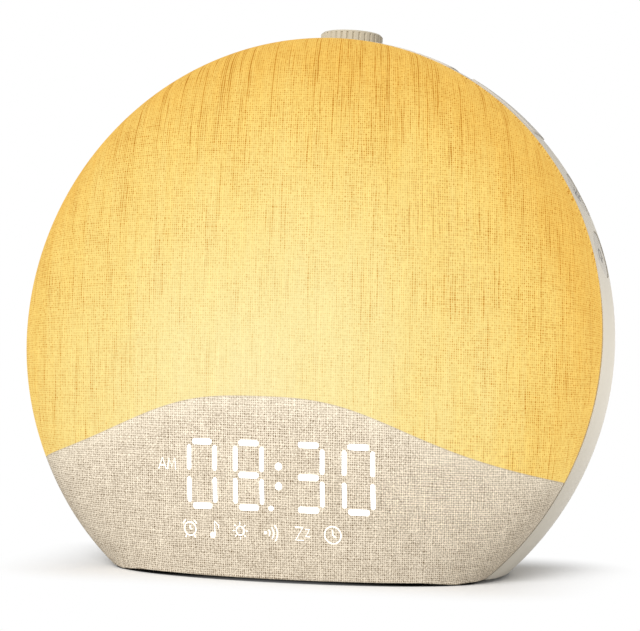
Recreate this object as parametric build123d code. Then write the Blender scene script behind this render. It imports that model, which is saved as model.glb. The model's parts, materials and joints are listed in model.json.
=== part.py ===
"""Sunrise alarm clock: a leaning round body with a fabric-covered lamp dome in front.

Two frames are used. The table frame has +Z up, -Y towards the person in front of the
clock and its origin on the table under the middle of the rim. The face frame leans back
with the clock: +X across, +Y up the face, +Z out of the face, origin at the middle of
the rim where the fabric meets the plastic. Pieces are drawn in the face frame and stood
up at the end. Sizes are millimetres and degrees.
"""

import os
from math import asin, cos, degrees, hypot, radians, sin, sqrt

from build123d import *

# ------------------------------------------------------------------ stance
face_tilt = 9.68  # lean of the face, back from upright
foot_width = 115.45  # width of the straight lower edge of the fabric, at the rim
pad_proud = 1.0  # the body stands this far above the table on its rubber pad

# ------------------------------------------------------------------ fabric dome
rim_radius = 89.25  # outside of the fabric at the rim
dome_height = 31.34  # fabric apex in front of the rim
fabric_thickness = 0.7
hem_width = 6.0  # fabric turned in behind the rim and under the floor
cloth_gap = 0.1  # fabric to diffuser
diffuser_wall = 2.0

# ------------------------------------------------------------------ rear shell
lip_step = 0.05  # front edge of the plastic, outside the fabric
swell = 0.7  # widest part of the plastic, outside its front edge
crest_depth = 5.75  # widest part, behind the rim
shell_depth = 44.0  # flat back, behind the rim
shoulder_turn = 55.0  # angle of the section curve from the widest part to the back
back_edge_radius = 6.0
shell_wall = 2.4
seam = 0.3  # line between the fabric and the plastic
rib_thickness, rib_height = 1.4, 5.0  # ribs inside the flat back, round the speaker

# ------------------------------------------------------------------ rubber pad
pad_inset = 8.0  # pad edge inside the body's footprint
pad_fit = 0.2

# ------------------------------------------------------------------ lamp
clamp_width = 7.0  # ring that holds the hem
clamp_thickness = 1.5
clamp_foot = 2.0  # height of the ring's straight part along the floor
ring_fit = 0.4  # rings inside the rear shell
flange_gap = 5.1  # edge of the tray's flange to the inside of the rear shell
mouth_inset = 12.5  # tray's mouth inside its flange
tray_taper = 12.0  # tray floor inside its mouth
tray_depth = 14.0  # front of the tray floor, behind the rim
tray_wall = 1.6
lamp_board_inset = 2.0  # lamp board inside the tray floor
lamp_board_lift = 7.5  # straight lower edge of the lamp board above the hill's top
board_thickness = 1.6
led_length, led_width, led_height = 3.5, 2.8, 0.9
led_edge = 6.0  # outer LEDs inside the edge of the lamp board
led_ring_pitch = 16.0
led_ring_counts = (17, 11, 6)  # LEDs in each part ring, outer ring first
led_spread = 190.0  # angle that each part ring covers

# ------------------------------------------------------------------ hill line
hill_foot_rise = 24.4  # foot of the hill's flanks, up the face from the table line
hill_rise = 25.2
hill_centre = -3.3
hill_half_width = 54.4
hill_power = 3
hill_wall_thickness = 1.6
inner_fit = 0.3  # inner pieces to the inside of the diffuser

# ------------------------------------------------------------------ display
digit_rise = 17.85  # middle of the bottom bars, up the face from the table line
digit_height = 18.3  # between the middles of the bottom and top bars
digit_width = 8.22  # between the middles of the upright bars
digit_centres = (-20.37, -5.70, 12.44, 27.11)
bar_thickness = 1.8
bar_gap = 0.55  # between neighbouring bars, measured at their points
colon_x, colon_spread, colon_radius = 3.52, 5.6, 1.05
point_x, point_radius = 1.1, 0.55
marker_x, marker_rise = -31.1, 2.4  # above the middle of the digits
marker_width, marker_height, marker_corner = 7.4, 3.8, 0.6
icon_drop = 6.7  # row of icons below the middle of the bottom bars
icon_places = (-24.5, -16.4, -8.4, 1.4, 10.5, 19.3)
icon_radius = 2.7
block_side, block_head, block_foot = 2.6, 2.0, 1.2  # block's edge outside its windows
display_board_front = 10.6  # in front of the rim
board_margin = 1.0
post_radius = 3.0
post_inset = 3.5
chip_led_length, chip_led_width, chip_led_height = 1.6, 0.8, 0.7

# ------------------------------------------------------------------ knob and encoder
knob_depth = 23.0  # knob axis behind the rim
knob_radius = 9.37
knob_rise = 5.0  # top of the knob above the widest part of the plastic
knob_float = 0.3  # pressed knob above its seat
knob_bevel = 0.6
flute_count = 32
flute_depth = 0.4
seat_drop = 3.5  # knob's seat below the widest part of the plastic
knob_seat_radius = 12.0
turret_wall = 2.4  # sleeve round the encoder, under the knob's seat
shaft_radius = 3.0
shaft_fit = 0.06
shaft_flat = 1.5  # flat of the D, from the shaft axis
bush_radius, bush_height = 3.5, 3.0
encoder_side = 12.4
encoder_height = 7.1
rotor_radius, rotor_thickness = 4.6, 2.6
rotor_fit = 0.3
press_travel = 0.5
nut_across_flats, nut_thickness = 10.0, 2.0
washer_radius, washer_thickness = 5.5, 0.5
knob_skin = 1.6

# ------------------------------------------------------------------ rim keys
key_fit = 0.35
key_depth = 9.3  # middle of each key behind the rim
key_travel = 0.6
first_key_angle = 73.0  # middle of the top key, from +X round to +Y
bar_keys_apart, pill_keys_apart, groups_apart = 7.15, 5.75, 14.4  # along the rim
bar_key_length, bar_key_width, bar_key_corner, bar_key_proud = 26.0, 12.0, 2.0, 0.4
pill_key_length, pill_key_width, pill_key_corner, pill_key_proud = 13.4, 12.0, 5.9, -0.3
dish_radius, dish_depth = 30.0, 0.5
key_skin = 1.4
key_ear = 1.2
ear_width = 6.0
ear_corner = 0.7
stem_radius = 2.2
plunger_radius, plunger_length, plunger_proud = 1.6, 2.2, 1.0
plunger_fit = 0.2
switch_side, switch_height = 6.0, 3.4
bracket_inset, bracket_thickness = 8.5, 2.0  # inside the edge of the tray's flange
bracket_margin = 2.7  # bracket's rear edge behind the switches
bracket_overhang = 8.0  # degrees past the end switches
strip_thickness = 0.3

# ------------------------------------------------------------------ rear fittings
screw_inset_x, screw_inset_y = 40.0, 60.0  # screws inside the widest part
screw_sink = 6.0  # under the head, in from the flat back
thread_hold = 3.0  # screw's grip in its pillar
screw_radius, screw_head_radius, screw_head_height, screw_head_edge = 1.5, 3.0, 2.2, 0.7
screw_fit = 0.2
thread_fit = 0.05
tube_radius = 4.5
pillar_radius, pillar_length = 4.0, 8.0
pilot_spare = 1.0
small_screw_radius, small_head_radius = 1.0, 1.9
small_head_height, small_head_edge = 1.3, 0.4
small_screw_length = 6.0

main_board_width, main_board_low, main_board_high = 60.0, 23.0, 57.0
board_post_height = 9.0  # main board behind the tray floor
chip_sizes = ((-12.0, 46.0, 10.0, 10.0, 1.2), (2.6, 51.0, 5.0, 5.0, 1.0),
              (-20.0, 33.0, 10.0, 5.0, 5.5), (12.0, 26.5, 8.0, 4.0, 5.5),
              (-4.0, 31.0, 6.4, 6.4, 7.0))  # x, y, width, height, thickness
cell_place, cell_radius, cell_thickness = (16.0, 41.5), 10.0, 3.2
holder_wall, holder_floor = 1.2, 0.8
cell_fit = 0.2

speaker_centre_y = -4.0
speaker_radius, speaker_flange = 26.0, 1.2
gasket_thickness, gasket_width = 0.8, 3.5
cone_radius, cone_neck, cone_height, cone_skin = 21.0, 8.0, 6.5, 0.6
basket_radius, basket_height, basket_skin = 15.0, 11.0, 1.0
magnet_radius, magnet_thickness = 14.0, 6.5
grille_radius, slot_width, slot_pitch = 20.0, 2.0, 4.4
slot_count = 9

inlet_level = 14.4  # middle of the inlet above the table, at the flat back
inlet_width, inlet_height, inlet_length, inlet_skin = 8.94, 3.26, 7.35, 0.3
inlet_fit = 0.2
recess_width, recess_height, recess_depth = 14.0, 9.0, 5.0
tongue_width, tongue_thickness, tongue_length, tongue_base = 6.7, 0.7, 4.6, 1.2
power_board_width, power_board_length = 24.0, 17.0
rest_width, rest_height = 4.0, 12.0  # rests that carry the power board

# ------------------------------------------------------------------ what follows from them
quarter_turn, full_turn = 90, 360
overcut = 1.0  # cuts start and end this far outside what they cut
lip_radius = rim_radius + lip_step
shell_radius = lip_radius + swell
reach = 4 * shell_radius  # larger than anything
tilt = radians(face_tilt)
rim_drop = sqrt(rim_radius**2 - (foot_width / 2) ** 2)  # from the rim's middle down to its foot
face_centre_height = pad_proud + rim_drop * cos(tilt)  # middle of the rim above the table
face = Plane((0, 0, face_centre_height), (1, 0, 0), (0, -cos(tilt), sin(tilt)))
face_foot = -face_centre_height / cos(tilt)  # the table line, down the face
shoulder_radius = (shell_depth - crest_depth) / sin(radians(shoulder_turn))
seam_depth = fabric_thickness + seam
fabric_floor = pad_proud
diffuser_floor = fabric_floor + fabric_thickness + cloth_gap
shell_floor = pad_proud
shell_inside_floor = shell_floor + shell_wall
cover_step = fabric_thickness + cloth_gap
inside_step = cover_step + diffuser_wall
clamp_back = fabric_thickness + clamp_thickness
flange_back = clamp_back + tray_wall
back_inside = shell_depth - shell_wall

tray_flange_radius = shell_radius - shell_wall - flange_gap
tray_mouth_radius = tray_flange_radius - mouth_inset
tray_floor_radius = tray_mouth_radius - tray_taper
lamp_board_radius = tray_floor_radius - lamp_board_inset
hill_foot = face_foot + hill_foot_rise
lamp_board_bottom = hill_foot + hill_rise + lamp_board_lift

digit_bottom = face_foot + digit_rise
digit_top = digit_bottom + digit_height
digit_middle = (digit_bottom + digit_top) / 2
icon_level = digit_bottom - icon_drop
block_left = marker_x - marker_width / 2 - block_side
block_right = digit_centres[-1] + (digit_width + bar_thickness) / 2 + block_side
block_low = icon_level - icon_radius - block_foot
block_high = digit_top + bar_thickness / 2 + block_head

knob_top = shell_radius + knob_rise
knob_seat_level = shell_radius - seat_drop
knob_bottom = knob_seat_level + press_travel + knob_float
bush_top = knob_seat_level + bush_height
encoder_top = knob_seat_level - shell_wall
encoder_low = encoder_top - encoder_height

bracket_radius = tray_flange_radius - bracket_inset
bracket_back = key_depth + switch_side / 2 + bracket_margin
switch_seat = bracket_radius + bracket_thickness + strip_thickness
plunger_top = switch_seat + switch_height + plunger_proud

front_screw_places = [
    (side * (shell_radius - screw_inset_x), level * (shell_radius - screw_inset_y))
    for side, level in ((1, 1), (-1, 1), (-1, -1), (1, -1))
]
pillar_end = tray_depth + pillar_length
front_screw_seat = shell_depth - screw_sink
front_screw_length = front_screw_seat - pillar_end + thread_hold
pilot_depth = thread_hold + pilot_spare
main_board_front = tray_depth + board_post_height
main_board_back = main_board_front + board_thickness

inlet_y = (inlet_level - face_centre_height + shell_depth * sin(tilt)) / cos(tilt)
inlet_place = (0, inlet_y)
inlet_mouth = -shell_depth + recess_depth
speaker_place = (0, speaker_centre_y)
gasket_front = -back_inside + gasket_thickness
flange_front = gasket_front + speaker_flange


# ------------------------------------------------------------------ helpers
def stood_up(part):
    """Face frame to table frame."""
    return face.location * part


def below(level):
    """Everything under a level of the table frame, given in the face frame."""
    return face.location.inverse() * (Pos(0, 0, level - reach / 2) * Box(reach, reach, reach))


def spun(edges):
    """Solid turned about the face axis, from a closed outline of radius and depth."""
    return revolve(Plane.XZ * make_face(edges), Axis.Z)


def arc(centre, radius, start, end):
    """Circular arc between two angles in degrees."""
    points = [
        (centre[0] + radius * cos(radians(a)), centre[1] + radius * sin(radians(a)))
        for a in (start, (start + end) / 2, end)
    ]
    return ThreePointArc(*points)


def drum(radius, back, front, floor):
    """Disc between two depths, cut off at a floor level."""
    disc = Pos(0, 0, (back + front) / 2) * Cylinder(radius, front - back)
    return disc - below(floor)


def rod(radius, back, front, place=(0, 0)):
    """Round bar along the face axis."""
    return Pos(*place, (back + front) / 2) * Cylinder(radius, front - back)


def block(width, height, back, front, place=(0, 0)):
    """Square-edged block along the face axis."""
    return Pos(*place, (back + front) / 2) * Box(width, height, front - back)


def slot(width, height, back, front, place=(0, 0)):
    """Block with round ends along the face axis."""
    outline = Pos(*place, back) * SlotOverall(width, height)
    return extrude(outline, front - back)


def screw(radius, length, head_radius, head_height, head_edge):
    """Pan-head screw, head at the top, seated at the origin, shank down."""
    shank = Pos(0, 0, -length / 2) * Cylinder(radius, length)
    head = Pos(0, 0, head_height / 2) * Cylinder(head_radius, head_height)
    head = fillet(head.edges().group_by(Axis.Z)[-1], head_edge)
    return shank + head


def group(solids):
    """Separate solids that share one node."""
    return Compound(children=list(solids))


def export(part, name):
    """Stand a part up and write it under its own name."""
    part = stood_up(part)
    part.label = name
    export_step(part, f"parts/{name}.step")


# ------------------------------------------------------------------ body surfaces
def dome(step, floor):
    """Solid half egg inside the fabric's outer surface, smaller by a step."""
    radius, height = rim_radius - step, dome_height - step
    front = EllipticalCenterArc((0, 0), radius, height, 0, arc_size=quarter_turn)
    return spun([front, Line((0, height), (0, 0)), Line((0, 0), (radius, 0))]) - below(floor)


def shell_solid(offset, floor):
    """Solid inside the rear shell's outer surface, grown outwards by an offset."""
    run, rise = crest_depth - seam_depth, shell_radius - lip_radius
    lead_radius = (run**2 + rise**2) / (2 * rise)
    lead_centre = (shell_radius - lead_radius, -crest_depth)
    lead_angle = degrees(asin(run / (lead_radius + offset)))
    back_run = shell_depth + offset - crest_depth
    turn = degrees(asin(back_run / (shoulder_radius + offset)))
    lead = arc(lead_centre, lead_radius + offset, lead_angle, 0)
    shoulder = arc(
        (shell_radius - shoulder_radius, -crest_depth), shoulder_radius + offset, 0, -turn
    )
    back, front = (0, -shell_depth - offset), (0, -seam_depth)
    flat_back, axis_line, front_line = Line(shoulder @ 1, back), Line(back, front), Line(front, lead @ 0)
    outline = make_face([lead, shoulder, flat_back, axis_line, front_line])
    if back_edge_radius + offset > 0:
        corner = outline.vertices().sort_by_distance(shoulder @ 1)[0]
        outline = fillet(corner, back_edge_radius + offset)
    return revolve(Plane.XZ * outline, Axis.Z) - below(floor)


def footprint(inset, top):
    """Slab from the table up to a level, inset from the outline of the whole body."""
    rim = drum(rim_radius - inset, -seam_depth, 0, 0)
    body = dome(inset, 0) + rim + shell_solid(-inset, 0)
    over = face.location.inverse() * (Pos(0, 0, top + reach / 2) * Box(reach, reach, reach))
    return body - over


def hill_level(x):
    """Level of the line where the lit sky meets the hill."""
    return hill_foot + hill_rise / (1 + abs((x - hill_centre) / hill_half_width) ** hill_power)


# ------------------------------------------------------------------ fabric front
def front_fabric():
    skin = dome(0, fabric_floor) - dome(cover_step - cloth_gap, fabric_floor + fabric_thickness)
    skin -= dome(hem_width, fabric_floor - overcut)
    hem = drum(rim_radius - cloth_gap, -fabric_thickness, 0, fabric_floor)
    hem -= drum(rim_radius - hem_width, -fabric_thickness, 0, fabric_floor - overcut)
    return skin + hem


def diffuser_dome():
    return dome(cover_step, diffuser_floor) - dome(inside_step, diffuser_floor + diffuser_wall)


def clamp_ring():
    outer = rim_radius - inside_step
    floor = shell_inside_floor + ring_fit
    ring = drum(outer, -clamp_back, -fabric_thickness, floor)
    return ring - drum(outer - clamp_width, -clamp_back, -fabric_thickness, floor + clamp_foot)


# ------------------------------------------------------------------ light tray
def tray_bowl(step):
    """Solid bowl inside the tray's outer surface, smaller by a step."""
    floor, mouth = -tray_depth - tray_wall + step, -clamp_back
    low, high = tray_floor_radius + tray_wall - step, tray_mouth_radius + tray_wall - step
    corners = [(0, floor), (low, floor), (high, mouth), (0, mouth)]
    return spun(Polyline(*corners, close=True).edges())


def post_places(left, right, low, high):
    """Four places inset from the corners of a board."""
    return [
        (x, y)
        for x in (left + post_inset, right - post_inset)
        for y in (low + post_inset, high - post_inset)
    ]


display_posts = post_places(block_left, block_right, block_low, block_high)
main_board_posts = post_places(
    -main_board_width / 2, main_board_width / 2, main_board_low, main_board_high
)


def light_tray():
    floor = shell_inside_floor + ring_fit
    flange = drum(tray_flange_radius, -flange_back, -clamp_back, floor)
    bowl = tray_bowl(0) - below(floor)
    tray = flange + bowl
    tray -= tray_bowl(tray_wall) - below(floor + tray_wall)
    display_back = display_board_front - board_thickness
    pilot = small_screw_length - board_thickness + thread_fit
    for place in display_posts:
        tray += rod(post_radius, -tray_depth, display_back, place)
    for place in main_board_posts:
        tray += rod(post_radius, -main_board_front, -tray_depth, place)
    for place in front_screw_places:
        tray += rod(pillar_radius, -pillar_end, -tray_depth, place)
    small_bore = small_screw_radius + thread_fit
    for place in display_posts:
        tray -= rod(small_bore, display_back - pilot, display_back, place)
    for place in main_board_posts:
        tray -= rod(small_bore, -main_board_front, -main_board_front + pilot, place)
    for place in front_screw_places:
        tray -= rod(screw_radius + thread_fit, -pillar_end, -pillar_end + pilot_depth, place)
    return tray


def hill_wall():
    shares = (-1, -0.7, -0.45, -0.2, 0, 0.2, 0.45, 0.7, 1)
    xs = [hill_centre + share * rim_radius for share in shares]
    top = Spline(*[(x, hill_level(x)) for x in xs])
    foot = Spline(*[(x, hill_level(x) - hill_wall_thickness) for x in xs])
    ends = [Line(top @ 0, foot @ 0), Line(top @ 1, foot @ 1)]
    outline = Pos(0, 0, -tray_depth) * make_face([top, foot, *ends])
    strip = extrude(outline, tray_depth + dome_height)
    mouth = drum(tray_mouth_radius - inner_fit, -clamp_back, 0, 0)
    room = dome(inside_step + inner_fit, 0) + mouth + tray_bowl(tray_wall + inner_fit)
    room += drum(tray_floor_radius - inner_fit, -tray_depth, -tray_depth / 2, 0)
    return strip & room


def lamp_board():
    board = rod(lamp_board_radius, -tray_depth, -tray_depth + board_thickness)
    cut_off = Pos(0, lamp_board_bottom - reach / 2, -tray_depth) * Box(reach, reach, reach)
    return board - cut_off


def lamp_leds():
    base = -tray_depth + board_thickness
    leds = []
    for ring, count in enumerate(led_ring_counts):
        radius = lamp_board_radius - led_edge - ring * led_ring_pitch
        for i in range(count):
            angle = quarter_turn - led_spread / 2 + led_spread * i / (count - 1)
            led = Pos(radius, 0, base + led_height / 2) * Box(led_width, led_length, led_height)
            leds.append(Rot(0, 0, angle) * led)
    return group(leds)


# ------------------------------------------------------------------ display
def bar(length):
    """Outline of one bar of a digit: long, with pointed ends, lying along X."""
    half, tip = length / 2, bar_thickness / 2
    corners = [(half, 0), (half - tip, tip), (tip - half, tip)]
    corners += [(-x, -y) for x, y in corners]
    return make_face(Polyline(*corners, close=True).edges())


def digit(centre):
    """Outlines of the seven bars of a digit."""
    half = digit_height / 2
    across, upright = bar(digit_width - bar_gap), bar(half - bar_gap)
    levels = (digit_top, digit_middle, digit_bottom)
    outlines = [Pos(centre, level) * across for level in levels]
    for side in (-digit_width / 2, digit_width / 2):
        for level in (digit_middle + half / 2, digit_middle - half / 2):
            outlines.append(Pos(centre + side, level) * Rot(0, 0, quarter_turn) * upright)
    return outlines


def display_windows():
    """Outlines of every window of the display."""
    outlines = [outline for centre in digit_centres for outline in digit(centre)]
    for level in (digit_middle + colon_spread / 2, digit_middle - colon_spread / 2):
        outlines.append(Pos(colon_x, level) * Circle(colon_radius))
    outlines.append(Pos(point_x, digit_bottom) * Circle(point_radius))
    marker = RectangleRounded(marker_width, marker_height, marker_corner)
    outlines.append(Pos(marker_x, digit_middle + marker_rise) * marker)
    outlines += [Pos(x, icon_level) * Circle(icon_radius) for x in icon_places]
    return outlines


block_width, block_height = block_right - block_left, block_high - block_low
block_middle = ((block_left + block_right) / 2, (block_low + block_high) / 2)


def display_block():
    body = block(block_width, block_height, display_board_front, dome_height, block_middle)
    body &= dome(inside_step + inner_fit, 0)
    for outline in display_windows():
        body -= extrude(Pos(0, 0, display_board_front) * outline, dome_height)
    return body - small_screw_heads(display_posts, display_board_front)


def small_screw_heads(places, level):
    """Room for the heads of the small screws that stand in front of a board."""
    solids = Part()
    for place in places:
        top = level + small_head_height + screw_fit
        solids += rod(small_head_radius + screw_fit, level, top, place)
    return solids


def display_board():
    width, height = block_width + 2 * board_margin, block_height + 2 * board_margin
    back = display_board_front - board_thickness
    board = block(width, height, back, display_board_front, block_middle)
    for place in display_posts:
        board -= rod(small_screw_radius + thread_fit, back, display_board_front, place)
    return board


def display_leds():
    leds = []
    for outline in display_windows():
        size, centre = outline.bounding_box().size, outline.center()
        length = min(chip_led_length, max(size.X, size.Y) / 2)
        width = min(chip_led_width, min(size.X, size.Y) / 2)
        turn = 0 if size.X >= size.Y else quarter_turn
        place = Pos(centre.X, centre.Y, display_board_front + chip_led_height / 2)
        leds.append(place * Rot(0, 0, turn) * Box(length, width, chip_led_height))
    return group(leds)


# ------------------------------------------------------------------ rear shell
def key_frame(angle):
    """Frame of a rim key: +X along the rim, +Y towards the face, +Z outwards."""
    direction = (cos(radians(angle)), sin(radians(angle)), 0)
    along = (-sin(radians(angle)), cos(radians(angle)), 0)
    return Plane((0, 0, -key_depth), along, direction).location


def key_prism(angle, length, width, corner):
    """Rounded block that runs outwards from the bracket through the shoulder."""
    outline = Pos(0, 0, bracket_radius) * RectangleRounded(length, width, corner)
    return key_frame(angle) * extrude(outline, knob_top - bracket_radius)


def further_round(angle, length, next_length, apart):
    """Middle of the next key, a step down the rim from the middle of one."""
    return angle - degrees(((length + next_length) / 2 + apart) / shell_radius)


second_key_angle = further_round(first_key_angle, bar_key_length, bar_key_length, bar_keys_apart)
third_key_angle = further_round(second_key_angle, bar_key_length, pill_key_length, groups_apart)
fourth_key_angle = further_round(third_key_angle, pill_key_length, pill_key_length, pill_keys_apart)
bar_key_angles = (first_key_angle, second_key_angle)
pill_key_angles = (third_key_angle, fourth_key_angle)
bracket_start, bracket_end = fourth_key_angle - bracket_overhang, first_key_angle + bracket_overhang

bar_key = (bar_key_length, bar_key_width, bar_key_corner)
pill_key = (pill_key_length, pill_key_width, pill_key_corner)
key_places = [(angle, bar_key) for angle in bar_key_angles]
key_places += [(angle, pill_key) for angle in pill_key_angles]


def knob_seat(radius, low, high):
    """Round bar on the knob's axis."""
    along = Plane((0, 0, -knob_depth), (1, 0, 0), (0, 1, 0)).location
    return along * (Pos(0, 0, (low + high) / 2) * Cylinder(radius, high - low))


def grille_slots():
    """Slots in front of the speaker, each as long as the round grille is wide there."""
    slots = Part()
    back, front = -shell_depth - overcut, -back_inside + overcut
    for i in range(slot_count):
        level = (i - (slot_count - 1) / 2) * slot_pitch
        length = 2 * sqrt(grille_radius**2 - level**2)
        slots += slot(length, slot_width, back, front, (0, speaker_centre_y + level))
    return slots


def speaker_ribs():
    """Ring that locates the speaker, with a rib out to each screw tube."""
    ring_radius = speaker_radius + ring_fit
    back, front = -back_inside - shell_wall / 2, -back_inside + rib_height
    ribs = rod(ring_radius + rib_thickness, back, front, speaker_place)
    for x, y in front_screw_places:
        run = hypot(x, y - speaker_centre_y)
        lean = degrees(asin((y - speaker_centre_y) / run))
        rib = block(run, rib_thickness, back, front, (run / 2, 0))
        turn = lean if x > 0 else 2 * quarter_turn - lean
        ribs += Pos(*speaker_place, 0) * Rot(0, 0, turn) * rib
    return ribs - rod(ring_radius, -back_inside, front, speaker_place)


def board_rests():
    """Two rests under the power board, joined to the flat back."""
    rests = Part()
    top = inlet_y - inlet_height / 2 - board_thickness
    length = power_board_length - rest_width
    for side in (-1, 1):
        x = side * (power_board_width / 2 - rest_width)
        place = Pos(x, top - rest_height / 2, -back_inside + power_board_length / 2 + shell_wall)
        rests += place * Box(rest_width, rest_height, length)
    return rests & shell_solid(-shell_wall / 2, shell_floor + shell_wall / 2)


def inlet_cup():
    """Walls round the recess of the power inlet."""
    width, height = recess_width + 2 * tray_wall, recess_height + 2 * tray_wall
    return slot(width, height, -back_inside - shell_wall / 2, inlet_mouth + tray_wall, inlet_place)


def inlet_cut():
    """Recess in the back, and the way through its floor for the inlet's metal shell."""
    recess = slot(recess_width, recess_height, -shell_depth - overcut, inlet_mouth, inlet_place)
    width, height = inlet_width + 2 * inlet_fit, inlet_height + 2 * inlet_fit
    return recess + slot(width, height, -shell_depth, inlet_mouth + tray_wall + overcut, inlet_place)


def rear_shell():
    shell = shell_solid(0, shell_floor) - shell_solid(-shell_wall, shell_inside_floor)
    for place in front_screw_places:
        shell += rod(tube_radius, -back_inside - shell_wall / 2, -pillar_end - screw_fit, place)
    shell += speaker_ribs()
    shell += inlet_cup()
    shell += board_rests()
    shell += knob_seat(knob_seat_radius, encoder_low, knob_seat_level)

    shell -= knob_seat(knob_seat_radius + key_fit, knob_seat_level, knob_top)
    shell -= knob_seat(knob_seat_radius - turret_wall, encoder_low - overcut, encoder_top)
    shell -= knob_seat(bush_radius + thread_fit, encoder_low, knob_seat_level + overcut)
    for angle, (length, width, corner) in key_places:
        shell -= key_prism(angle, length + 2 * key_fit, width + 2 * key_fit, corner + key_fit)
    shell -= grille_slots()
    shell -= inlet_cut()
    for place in front_screw_places:
        head_room = screw_head_radius + screw_fit
        shell -= rod(screw_radius + screw_fit, -shell_depth, -pillar_end + overcut, place)
        shell -= rod(head_room, -shell_depth - overcut, -front_screw_seat, place)
    return shell - footprint(pad_inset - pad_fit, diffuser_floor)


def base_pad():
    return footprint(pad_inset, diffuser_floor)


# ------------------------------------------------------------------ rim keys
def key_cap(angle, shape, proud):
    """Hollow cap with a stem to its switch and two ears that catch inside the shell."""
    length, width, corner = shape
    catch = shell_wall + inner_fit
    inside = shell_solid(-catch - key_skin, 0)
    cap = key_prism(angle, *shape) & (shell_solid(proud, 0) - inside)
    inner_corner = max(corner - key_skin, ear_corner)
    hollow = key_prism(angle, length - 2 * key_skin, width - 2 * key_skin, inner_corner)
    cap -= hollow & shell_solid(proud - key_skin, 0)
    cap += key_stem(angle) & shell_solid(proud - key_skin / 2, 0)
    ears = key_prism(angle, length + 2 * key_ear, ear_width, ear_corner)
    ears -= key_prism(angle, length - key_skin, width, corner / 2)
    return cap + (ears & (shell_solid(-catch, 0) - inside))


def key_stem(angle):
    """Round bar outwards from the top of a switch."""
    middle, length = (plunger_top + shell_radius) / 2, shell_radius - plunger_top
    return key_frame(angle) * (Pos(0, 0, middle) * Cylinder(stem_radius, length))


def dished(cap, angle):
    """Shallow finger dish in the top of a pill key."""
    ball_height = shell_radius + pill_key_proud - dish_depth + dish_radius
    return cap - key_frame(angle) * (Pos(0, 0, ball_height) * Sphere(dish_radius))


def rim_band(inner, outer, back, front):
    """Curved band behind the keys, between two radii and two depths."""
    corners = [(inner, back), (outer, back), (outer, front), (inner, front)]
    outline = make_face(Polyline(*corners, close=True).edges())
    band = revolve(Plane.XZ * outline, Axis.Z, bracket_end - bracket_start)
    return Rot(0, 0, bracket_start) * band


def key_bracket():
    outer = bracket_radius + bracket_thickness
    return rim_band(bracket_radius, outer, -bracket_back, -flange_back)


def key_strip():
    half = switch_side / 2
    return rim_band(switch_seat - strip_thickness, switch_seat, -key_depth - half, -key_depth + half)


def switch_body(angle):
    body = Pos(0, 0, switch_seat + switch_height / 2) * Box(switch_side, switch_side, switch_height)
    hole = plunger_length - plunger_proud + key_travel + plunger_fit
    hole_middle = switch_seat + switch_height - hole / 2
    body -= Pos(0, 0, hole_middle) * Cylinder(plunger_radius + plunger_fit, hole)
    return key_frame(angle) * body


def switch_plunger(angle):
    middle = plunger_top - plunger_length / 2
    return key_frame(angle) * (Pos(0, 0, middle) * Cylinder(plunger_radius, plunger_length))


# ------------------------------------------------------------------ knob
def shaft_solid(radius, low, high):
    """Round bar on the knob's axis, flattened to a D."""
    bar_solid = knob_seat(radius, low, high)
    flat = shaft_flat + radius - shaft_radius
    keep = Pos(0, (low + high) / 2, flat / 2 - knob_depth - radius / 2) * Box(
        2 * radius, high - low, flat + radius
    )
    return bar_solid & keep


rotor_low = encoder_low + encoder_height / 2 - rotor_thickness
rotor_high = rotor_low + rotor_thickness
shaft_low = rotor_low - press_travel
shaft_high = knob_top - knob_skin - inner_fit
knob_hollow_top = bush_top + press_travel + plunger_fit
nut_low = knob_seat_level + washer_thickness


def encoder_body():
    middle = (encoder_top + encoder_low) / 2
    body = Pos(0, middle, -knob_depth) * Box(encoder_side, encoder_height, encoder_side)
    body += knob_seat(bush_radius, encoder_top, bush_top)
    body -= knob_seat(shaft_radius + shaft_fit, shaft_low - press_travel - shaft_fit, bush_top)
    return body - knob_seat(rotor_radius + rotor_fit, rotor_low - rotor_fit, rotor_high + rotor_fit)


def encoder_rotor():
    return knob_seat(rotor_radius, rotor_low, rotor_high) - shaft_solid(
        shaft_radius + shaft_fit, rotor_low, rotor_high
    )


def encoder_shaft():
    round_low, round_high = rotor_high + press_travel + shaft_fit, knob_hollow_top - shaft_fit
    shaft = knob_seat(shaft_radius, round_low, round_high)
    shaft += shaft_solid(shaft_radius, shaft_low, round_low)
    return shaft + shaft_solid(shaft_radius, round_high, shaft_high)


def encoder_washer():
    return knob_seat(washer_radius, knob_seat_level, nut_low) - knob_seat(
        bush_radius + thread_fit, knob_seat_level, nut_low
    )


def encoder_nut():
    outline = RegularPolygon(nut_across_flats / 2, 6, major_radius=False)
    outline -= Circle(bush_radius + thread_fit)
    along = Plane((0, nut_low, -knob_depth), (1, 0, 0), (0, 1, 0)).location
    return along * extrude(outline, nut_thickness)


def knob():
    body = Pos(0, 0, (knob_bottom + knob_top) / 2) * Cylinder(knob_radius, knob_top - knob_bottom)
    body = chamfer(body.edges().group_by(Axis.Z)[-1], knob_bevel)
    side = flute_depth * sqrt(2)
    groove = Rot(0, 0, quarter_turn / 2) * Box(side, side, knob_top - knob_bottom)
    groove = Pos(knob_radius, 0, (knob_bottom + knob_top) / 2 - knob_bevel) * groove
    for i in range(flute_count):
        body -= Rot(0, 0, full_turn * i / flute_count) * groove
    body = Plane((0, 0, -knob_depth), (1, 0, 0), (0, 1, 0)).location * body
    nut_corner = nut_across_flats / 2 / cos(radians(quarter_turn / 3))
    nut_room = nut_corner + 2 * rotor_fit
    body -= knob_seat(nut_room, knob_bottom, knob_hollow_top)
    return body - shaft_solid(shaft_radius + shaft_fit, knob_hollow_top, shaft_high + shaft_fit)


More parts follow.
